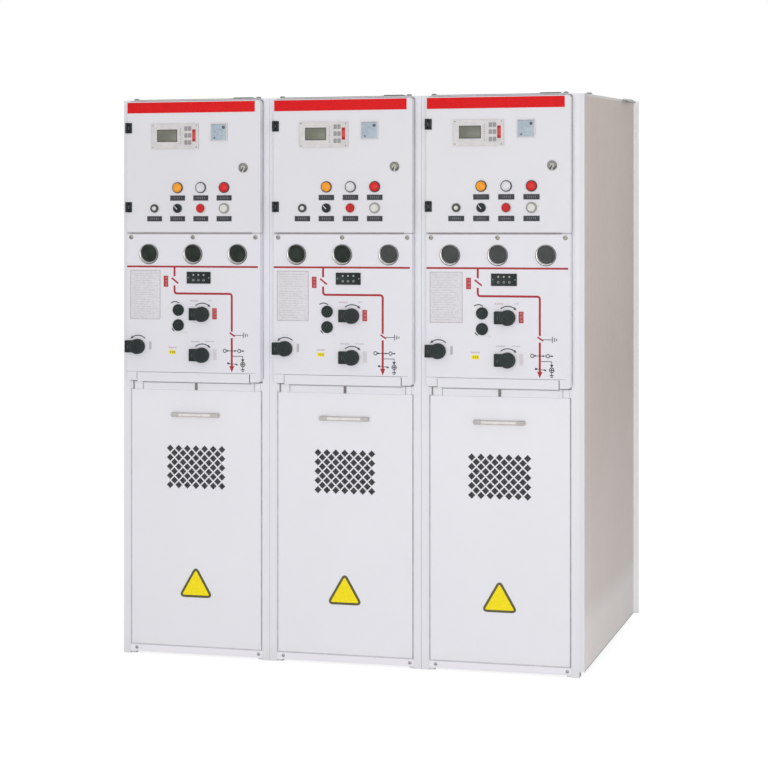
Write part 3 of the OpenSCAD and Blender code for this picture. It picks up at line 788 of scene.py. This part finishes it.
panelSheet = {"bend": 1.5, "corner": 9, "upperRound": False, "notch": 165}
sheet = finished(foldedSheet("operating_panel_left", **panelSheet), "panelPaint", flatAngle)
setOut([sheet], "panel_sheet", onRow, "operating_panel_{}")

# the one-line diagram: bus, rise and its switch blade, run, drop and its blade, arrowhead
mimic = {
    "lines": (([(-190.3, 1056.6), (185.2, 1056.6)], 5), ([(-52.6, 1056.6), (-52.6, 1030.5)], 5.5, False, 0.34),
        ([(-52.6, 1005.7), *arc(-45.6, 991.1, 7, 270, 180, 8), *arc(104.2, 977.1, 7, 0, 90, 8), (111.2, 882.8)], 5.5),
        ([(111.2, 865.6), (111.2, 788.7)], 5.5), ([(-60.9, 1026.2), (-41.8, 1011.4)], 4.4),
        ([(105.2, 879.8), (120.2, 869.9)], 4.2)),
    "head": (111.2, 784.8), "radius": 6.5, "stretch": (1.23, -1.74)}
head = disc(panel, *mimic["head"], 0.04, mimic["radius"], 3)
editAll()
resize(*mimic["stretch"], spot(panel, *mimic["head"], 0))
extrude(0, -0.32, 0)
leaveEdit()
lines = [drawn("mimicRed", panel, *line) for line in mimic["lines"]]
setOut(lines + [finished(head, "mimicRed")], "mimic_lines", onRow)

# lines are (u0, z0, u1, z1, width) and rings (u, z, radius, width); captions are rows of small figures
paddles = {"upper": (27, 928.5), "lower": (27, 818.5), "side": (-158.2, 839.5)}
arrows = {
    "width": 2.7, "radius": 30, "stop": 4, "tip": ((0, 3), (2.2, -7), (-2.2, -7)), "tipWidth": 2,
    "sweeps": {"upper": (-40, 43, 1), "lower": (-40, 43, 1), "side": (43, -40, -1)},
    "knobArcs": ((-51, 943.5, 18.5, -39, 39, 14), (-41, 898.5, 20.5, 215, 245, 6))}
symbols = {
    "lines": (
        (119.8, 873.2, 143.2, 873.2, 1.7), (143.9, 865.4, 143.9, 881, 1.9), (149.6, 868.2, 149.6, 878.2, 2.2),
        (155.3, 870.2, 155.3, 876.2, 2.2),  # the earthing contact
        (96, 831.1, 127.8, 831.1, 1.7), (97, 831.1, 101.5, 831.1, 3.8), (117.5, 831.1, 122, 831.1, 3.8),
        (137.2, 831.1, 146, 831.1, 1.7), (140, 831.1, 144.5, 831.1, 3.6),  # the voltage taps
        (114, 816.9, 142.9, 816.9, 1.7), (142.3, 816.9, 142.3, 801.7, 1.7), (138, 808, 146.6, 808, 2),
        (139.8, 806, 144.8, 806, 4.4), (138, 795, 146.6, 795, 2.4), (142.3, 790.6, 142.3, 799.4, 2.4),
        (142.3, 788.7, 142.3, 781, 2.2), (137.3, 781, 147.3, 781, 2.6), (139.3, 776.9, 145.3, 776.9, 2.4),
        (98.3, 797.9, 108.4, 796.9, 1.7), (98.6, 797.6, 104.4, 797.2, 4.8),  # the arrester and its branch
        (114, 796.1, 128, 794.2, 1.7), (121.6, 797, 126.8, 792.6, 2.2), (123, 794.8, 127.4, 794.2, 3.4)),
    "rings": ((91.3, 831.1, 4.4, 2.2), (132.5, 831.1, 4.4, 2.2), (142.3, 795, 6, 2.2)),
    "captions": (
        (3, 964.5, "20", "faintRed", 4), (49.5, 965, "10", "faintGrey", 2), (7, 854.5, "20", "faintGrey", 4),
        (48, 855, "10", "faintGrey", 4), (-159, 876.5, "1", "faintGrey", 3), (-59, 837.5, "30", "faintRed", 4),
        (-22, 879, "2", "faintGrey", 2)), "figure": 5, "step": 6.2}
ink = [([(u0, z0), (u1, z1)], thick) for u0, z0, u1, z1, thick in symbols["lines"]]
ink += [(ring(u, z, r), thick, True) for u, z, r, thick in symbols["rings"]]
for which, (start, end, way) in arrows["sweeps"].items():
    (u, z), r = paddles[which], arrows["radius"]
    ink.append((arc(u, z, r, start, end - arrows["stop"] * way), arrows["width"]))
    ink.append(([bearing(u, z, r + d, end + ahead * way) for d, ahead in arrows["tip"]], arrows["tipWidth"], True))
ink += [(arc(*shape), arrows["width"]) for shape in arrows["knobArcs"]]
marks = [drawn("markGrey", panel, *line) for line in ink]
for u, z, text, paint, many in symbols["captions"]:
    for i in range(many):
        along = u + (i - (many - 1) / 2) * symbols["step"]
        marks.append(digits(paint, panel, text, along, z, symbols["figure"], 0.35))
setOut(marks, "panel_marks", onRow)
print("diagram made")

note = {
    "u": (-181.1, -93.5), "z": (913.8, 1046.7), "rim": (flush, 0.7, 1.4, 0.25, 0.2), "paper": (0.1, 0.6, 0.1),
    "inside": 1.3, "lines": 19, "step": 6.4, "margin": 8}
(u0, u1), (z0, z1), inside, margin = note["u"], note["z"], note["inside"], note["margin"]
parts = [rimmed("paperRim", panel, u0, u1, z0, z1, *note["rim"]),
         slab("paperTone", panel, u0 + inside, u1 - inside, z0 + inside, z1 - inside, *note["paper"])]
for i in range(note["lines"]):  # ruled lines of uneven length
    z = z1 - margin - 1 - i * note["step"]
    line = [(u0 + margin + (i * 13 % 5), z), (u1 - margin - (i * 37 % 23), z)]
    parts.append(drawn("ruleGrey", panel, line, 1.7, out=0.66))
setOut(parts, "note_plate", onRow)

plaques = {
    "red": ((-83.6, -70.8, 1002, 1031.9), (55.8, 68.5, 915.3, 945.1)), "shape": (flush, 0.8, 0.25), "step": 9,
    "redFigure": (8.5, 1), "yellow": (-69.3, -49.4, 820, 830.5, flush, 0.8, 0.9, 0.15, 0.15),
    "figures": (("4", -64.35), ("0", -58.85), ("8", -53.35)), "yellowFigure": (825.25, 8, 1),
    "columns": (("faintGrey", (-124.9, -122.7, -120.5), 830.9, 853.1, 1.1),
        ("ruleGrey", (58.7, 61.4, 64.1, 66.8), 805.8, 835.7, 1.8))}
parts = []
for text, (u0, u1, z0, z1) in zip(("10", "20"), plaques["red"]):
    parts.append(slab("plateRed", panel, u0, u1, z0, z1, *plaques["shape"]))
    for step in (-plaques["step"], 0, plaques["step"]):
        parts.append(digits("paperRim", panel, text, (u0 + u1) / 2, (z0 + z1) / 2 + step, *plaques["redFigure"]))
setOut(parts, "red_plates", onRow)
parts = [rimmed("plateYellow", panel, *plaques["yellow"])]
parts += [digits("markGrey", panel, text, u, *plaques["yellowFigure"]) for text, u in plaques["figures"]]
setOut(parts, "yellow_plate", onRow)
parts = [drawn(paint, panel, [(u, z0), (u, z1)], thick)
         for paint, row, z0, z1, thick in plaques["columns"] for u in row]
setOut(parts, "grey_marks", onRow)

windows = {
    "u": (-127, 0, 127), "z": 1090.4,
    "gasket": [(24.6, -6), (24.6, 0.02), (27.6, 0.04), (27.6, 0.7), (26.6, 0.9), (24.8, 0.9)],
    "ring": [(24.4, -8), (24.4, 0.7), (26.8, 0.8), (26.8, 2.6), (26.5, 4), (25.8, 5.2), (24.9, 5.7, 0.6, 0.6),
        (24, 4.8, 0.8, 1), (23, 2.6, 1, 1.2), (22.7, 1.2), (22.4, -8, -2.4, -1.2)]}
parts = []
for u in windows["u"]:  # the front lip sits a little right of and above the middle
    parts.append(lathed("seamRubber", panel, u, windows["z"], windows["gasket"], 64))
    parts.append(finished(turned(panel, u, windows["z"], windows["ring"], 64, True), "chromeTrim", 60))
setOut(parts, "window_bezels", onRow, "window_rings")

display = {
    "front": (-17, 51, 1011, 1043, flush, 3, 1.6, 0.7, 0.5), "back": (-12.8, 46.8, 1015.2, 1038.8, -20, 0.5, 0.8),
    "u": (2.3, 16.8, 31.6), "lampZ": 1034.7, "socketZ": 1020.5, "screws": (-12.5, 46.5), "screwZ": 1027,
    "lamp": [(2.5, 2.2), (2.5, 2.9), (2, 3.3), (1.9, 3), (1.8, 3.5), (1.2, 4.1), (0.2, 4.3)],
    "socket": [(3.2, 2.2), (3.2, 2.9), (2.6, 3.2), (1.6, 3.2), (1.5, 2), (0.2, 2)],
    "screw": [(1.7, 2.2), (1.7, 2.7), (1.2, 3), (0.2, 3)]}
parts = [rimmed("blackPlastic", panel, *display["front"]), slab("blackPlastic", panel, *display["back"])]
for u in display["u"]:
    parts += each(lathed, panel, (
        ("keyPale", u, display["lampZ"], display["lamp"], 20),
        ("keyGrey", u, display["socketZ"], display["socket"], 20)))
parts += [lathed("keyGrey", panel, u, display["screwZ"], display["screw"], 16) for u in display["screws"]]
setOut(parts, "display_box", onRow, "voltage_displays")

knobs = {
    "u": -41, "z": (939.5, 898.5), "flute": 0.955, "fluteFrom": 15.2,
    "profile": [(5, -24), (5, 0.1), (15.4, 0.2), (16, 0.8), (16, 4.6), (15.3, 5.6), (14, 6), (13, 5.8), (12.4, 5.2),
        (0.5, 5)]}
parts, u = [], knobs["u"]
for z in knobs["z"]:
    knob = turned(panel, u, z, knobs["profile"], 96)
    # the rim's vertices by twos, which sink to make the flutes
    rim = knobs["fluteFrom"] * mm
    editOnly(lambda: knob.data.vertices, lambda v: math.hypot(v.co.x, v.co.z) > rim and v.index % 4 < 2)
    resize(knobs["flute"], knobs["flute"], spot(panel, u, z, 0))
    leaveEdit()
    parts.append(finished(knob, "blackPlastic", 30))
    parts += each(slab, panel, (
        ("blackPlastic", *about(u, z, 5.2, 22), 4.8, 6, 0.6, 3),
        ("bezelGrey", *about(u, z + 6.5, 1.2, 7), 5.9, 6.1, 0.1)))
setOut(parts, "knob_turns", onRow, "round_knobs")

screws = {
    "u": (-177.7, 0.3, 178.3), "z": 1136.5, "washer": [(6.6, 0.02), (6.6, 0.4), (6.2, 0.6), (0.3, 0.6)],
    "head": [(5.2, 0.5), (5.2, 1.4), (4.9, 2), (4.2, 2.3), (2.6, 2.3), (2.4, 1.5), (0.3, 1.5)], "slot": (8.8, 1.4),
    "kick": ((-171.5, 16.5, 20), (178.6, 15.8, 80)), "kickSlot": (6.9, 0.8),
    "kickHead": [(4.6, 0.02), (4.6, 0.52), (3.91, 1.22), (1.84, 1.52), (0.15, 1.52)]}
parts, z = [], screws["z"]
for u in screws["u"]:
    parts += each(lathed, panel, (
        ("instrumentPlastic", u, z, screws["washer"], 28), ("screwSteel", u, z, screws["head"], 28)))
    parts.append(slab("washerGrey", panel, *about(u, z, *screws["slot"]), 2.2, 2.45, 0.1))
    parts.append(drawn("washerGrey", panel, arc(u, z, 5.4, 110, 300), 1.5, out=1.2))
for u, z, turn in screws["kick"]:
    parts.append(lathed("lowScrew", post, u, z, screws["kickHead"], 20))
    parts.append(tilted("washerGrey", post, u, z, turn, *about(u, z, *screws["kickSlot"]), 0.92, 1.62, 0.1))
setOut(parts, "front_screws", onRow)

# strips that narrow the seams in looks; grey strips and fine dark lines at the sheets' corners and folds, painted as
# the shade in the gaps, seams and folds
edgeTrims = {
    # painted shade: a grey strip in the seam at the top of the panel, pale at its right end
    "panel": (("seamPale", -190.6, 168, 1144.3, 1146.5, -24.5, -0.5, 0.5),
        ("panelPaint", 168.2, 190.6, 1144.3, 1146.5, -24.5, -0.3, 0.3)),
    "post": (*bothSides("lightRubber", 187.5, 189.6, 26, 721, -5.5, -0.3, 0.3),
        ("lightRubber", -189.4, 189.4, 23.9, 26, -5.6, -0.3, 0.3),
        # painted shade: dark lines under the operating panel's lower corners
        ("seamRubber", 162, 190, 744.2, 745.8, 0.2, 0.9, 0.2),
        ("seamRubber", -190, -162, 744.2, 745.6, 0.2, 0.9, 0.2),
        ("tickGrey", -182.6, -179.2, 723, 744.4, -5.4, -3.2, 0.2),
        ("postPaint", -189.6, -182.7, 722, 745.4, -5.4, -0.5, 0.3),
        ("postPaint", 183.9, 189.6, 722, 745.4, -5.4, -0.5, 0.3)),
    "shadeLineU": (-192.9, 191.9), "shadeLineZ": ((1152, 1504), (756, 1144.5)),
    # painted shade: dark lines at the ends of the apron, and grey lines at the folds beside it
    "lines": (("seamRubber", [(161.6, 746), (161.6, 768)], 2.2, False, 0.15),
        ("seamRubber", [(-161.4, 746), (-161.4, 768)], 1, False, 0.15),
        ("edgeGrey", [(-191, 771.4), (-161.4, 771.4)], 0.9, False, 0.12),
        ("edgeGrey", [(161.6, 771.4), (180, 771.4)], 0.6, False, 0.12))}
parts = each(slab, panel, edgeTrims["panel"]) + each(slab, post, edgeTrims["post"])
parts += each(drawn, panel, edgeTrims["lines"])
# painted shade: dark lines on the posts beside the door and the panel, for the shadow in the gaps
parts += [slab("gradedEdge", post, u, u + 0.9, *z, 0, 0.7, 0.2)
          for u in edgeTrims["shadeLineU"] for z in edgeTrims["shadeLineZ"]]
setOut(parts, "edge_trims", onRow)
print("panel made")

paddle = {
    "hub": [(5, -24), (5, 0.3), (19.6, 0.6), (20.5, 1.4), (20.5, 13.2), (20, 14.3), (19, 14.9), (17.2, 14.9),
        (16.6, 14.5), (16.4, 14.2), (0.6, 14.2)],
    "tab": (0.6, 13, 1.2, 3), "mark": (12.8, 13.15, 0.1),
    "nut": [(7.5, 14), (7.5, 14.8), (6.9, 15), (5.8, 15), (5.6, 14.3), (0.4, 14.3)], "groove": 18.6}
for which, (u, z) in paddles.items():
    parts = each(lathed, panel, (("blackPlastic", u, z, paddle["hub"], 64), ("blackPlastic", u, z, paddle["nut"], 6)))
    parts += each(slab, panel, (
        ("blackPlastic", *about(u - 19.25, z, 30.5, 33), *paddle["tab"]),
        ("bezelGrey", *about(u - 25.2, z - 1, 2, 10), *paddle["mark"])))
    parts.append(drawn("bezelGrey", panel, ring(u, z, paddle["groove"], 48), 0.8, True, 14.98, 14.7))
    node = "paddle_" + which + "_{}"
    setOut(parts, "paddle_body_" + which, node, node)
print("paddles made")

coverTrims = {
    "strips": (*bothSides("lightRubber", 184.5, 186.3, 27.1, 721, -5.4, -0.2, 0.3),
        ("lightRubber", -186.5, 186.5, 26.6, 29.2, -8, -0.2, 0.3),
        ("coverPaint", -178.6, -153.2, 719, 743.2, -4.2, -2.6, 0.3),
        ("coverPaint", 158, 183.2, 719, 743.2, -4.2, -2.6, 0.3),
        ("seamRubber", -154.3, -153.3, 721.5, 743.5, -2.6, -2.3, 0.1),
        ("seamRubber", 166.2, 167.2, 721.5, 743.5, -2.6, -2.3, 0.1))}
setOut(each(slab, cover, coverTrims["strips"]), "cover_trims", onCover)

felt = {"shape": (-92, 92, 450, 580, -4.4, -2.5, 0.5)}
setOut([slab("filterFelt", cover, *felt["shape"])], "vent_filter", onCover)

handle = {
    "blocks": (*bothSides("handleEnd", 46, 68, 649, 661, flush, 14, 3, 4),
        ("handleRim", -48, 48, 649.4, 660.6, 7, 13.4, 2.6, 4), ("handleBar", -46, 46, 652.1, 657.9, 9, 14.2, 1, 3),
        ("latchGrey", -3.5, 3.5, 722, 740, -4, -1, 0.5))}
setOut(each(slab, cover, handle["blocks"]), "cover_handle", onCover, "cover_fittings_{}")

triangle = {"base": 160, "height": 87, "rim": 6.3, "round": 10, "thick": 0.9}
radius = triangle["height"] * 2 / 3
disc(cover, 0, triangle["base"] + radius / 2, flush, radius, 3)
plate = applied(location=True)
editAll()
bpy.ops.mesh.bevel(offset=triangle["round"] * math.sqrt(3) * mm, segments=8, affect="VERTICES")
editAll()
extrude(0, -triangle["thick"], 0)
leaveEdit()
painted(plate, "plateRim", "plateYellow")
plateFront = min(v.co.y for v in plate.data.vertices) + 0.0001
editOnly(lambda: plate.data.polygons, lambda p: len(p.vertices) > 6 and p.center.y < plateFront)
bpy.ops.mesh.inset(thickness=triangle["rim"] * mm)
plate.active_material_index = 1
bpy.ops.object.material_slot_assign()
facesOut()
setOut([plate], "triangle_plate", onCover)
print("cover made")

roof = {
    "top": 1509, "boltU": (-181.5, 171), "boltDepth": 24, "washer": [(8.4, 0), (8.4, 1.1), (7.9, 1.5), (0.5, 1.5)],
    "bolt": [(6.9, 1.4), (6.9, 5), (6.2, 5.8), (3.2, 5.8), (3.1, 6.4), (2.7, 6.7), (0.3, 6.5)],
    # the long grey plate at the front is painted shade, a roof edge in the shade of its overhang
    "plates": (("darkSteel", 105.3, 158.8, 1509, 1513.4, -60, -6, 1.2, 3),
        ("darkSteel", 96.3, 164.8, 1509, 1511.2, -60, -3, 0.8), ("roofEdge", -171, 180, 1509, 1510.8, -40, -2, 0.5))}
parts = []
for u in roof["boltU"]:
    for profile, segments in ((roof["washer"], 24), (roof["bolt"], 6)):
        parts.append(finished(stood(u, roof["boltDepth"], roof["top"], profile, segments), "paleBolt"))
parts += each(slab, post, roof["plates"])
setOut(parts, "roof_hardware", onRow, "roof_fittings")

endClips = {
    "clips": (("paleZinc", 1066, 1077.6, 1508.5, 1511.9, -38, -14, 1.5, 3),
        ("paleZinc", 1066, 1077.6, 1526, 1531.6, -730, -630, 1.5, 3),
        ("paleZinc", 1066, 1077.6, 1528, 1535, -800, -716, 1.5, 3))}
setOut(each(slab, post, endClips["clips"]), "end_clips", onRow, copies=1)
print("roof made")

back = {
    "sheet": (-209.7, 209.7, 16, 1507, 0, 2), "u": (-192.7, 0, 192.7), "rows": (60, 420, 780, 1140, 1470),
    "dimple": [(4.9, 1.5), (6.9, -0.5)],
    "screw": [(4.8, 1.7), (4.8, 0.9), (4.5, 0.4), (3.4, 0.12), (2.4, 0.1), (2.2, 0.3), (2.2, 1.1), (0.2, 1.1)]}
places = [(u, z) for z in back["rows"] for u in back["u"]]
backSheet = block(rear, *back["sheet"])
dimples = joined([turned(rear, u, z, back["dimple"], 24) for u, z in places])
facesOut()
modified(backSheet, "BOOLEAN", operation="DIFFERENCE", solver="EXACT", object=dimples)
pick(dimples)
bpy.ops.object.delete()
setOut([finished(backSheet, "cabinetPaint", flatAngle)], "rear_sheet", onRow, "rear_covers")
setOut([lathed("zincSteel", rear, u, z, back["screw"], 20) for u, z in places], "rear_screws", onRow)
print("back made")

studio = {
    "floor": 24, "floorGlow": 1.22, "floorShare": 0.72, "daylight": 0.6, "backdrop": 1, "lamp": 152,
    "lampAt": (0.95, -6.4, 1), "lampSize": (5.5, 2), "aim": (0, -0.4, 0.7)}
white = (1, 1, 1, 1)
clearSelection()
bpy.ops.mesh.primitive_plane_add(size=studio["floor"], location=(0, 0, 0))
floor = bpy.context.object
floor.name = "floor"
tree = newMaterial("floorPaper", tone(236, 236, 237), 0.9, 0.1)
paper = tree.nodes["Principled BSDF"].outputs[0]
path = wired(tree, "LightPath", {}).outputs
glow = wired(tree, "Emission", {"Color": white, "Strength": studio["floorGlow"]}).outputs[0]
share = wired(tree, "Math", {0: path["Is Camera Ray"], 1: studio["floorShare"]}, operation="MULTIPLY").outputs[0]
mixed = wired(tree, "MixShader", {0: share, 1: paper, 2: glow}).outputs[0]
tree.links.new(mixed, tree.nodes["Material Output"].inputs["Surface"])
painted(floor, "floorPaper")

# daylight for the object; the camera, glossy and clear surfaces see a white backdrop instead
world = bpy.data.worlds.new("studio")
bpy.context.scene.world = world
world.use_nodes = True
tree = world.node_tree
sky = tree.nodes["Background"]
sky.inputs["Color"].default_value = white
sky.inputs["Strength"].default_value = studio["daylight"]
seen = wired(tree, "Background", {"Color": white, "Strength": studio["backdrop"]}).outputs[0]
path = wired(tree, "LightPath", {}).outputs
share = path["Is Camera Ray"]
for kind in ("Is Glossy Ray", "Is Transmission Ray"):
    share = wired(tree, "Math", {0: share, 1: path[kind]}, operation="MAXIMUM").outputs[0]
mixed = wired(tree, "MixShader", {0: share, 1: sky.outputs[0], 2: seen}).outputs[0]
tree.links.new(mixed, tree.nodes["World Output"].inputs["Surface"])

bpy.ops.object.light_add(type="AREA", location=studio["lampAt"])
light = bpy.context.object
light.data.shape, light.data.energy = "RECTANGLE", studio["lamp"]
light.data.size, light.data.size_y = studio["lampSize"]
aim = Vector(studio["aim"]) - Vector(studio["lampAt"])
light.rotation_euler = aim.to_track_quat("-Z", "Y").to_euler()

camera = {"at": (1.543, -5.7318, 1.1664), "turn": 15.235, "lens": 97.793, "sensor": 36, "shiftY": -0.2057, "far": 60}
bpy.ops.object.camera_add(location=camera["at"], rotation=(math.pi / 2, 0, math.radians(camera["turn"])))
view = bpy.context.object
view.data.lens, view.data.sensor_width = camera["lens"], camera["sensor"]
view.data.shift_y, view.data.clip_end = camera["shiftY"], camera["far"]
bpy.context.scene.camera = view
bpy.context.scene.view_settings.view_transform = "Standard"
print("studio made")
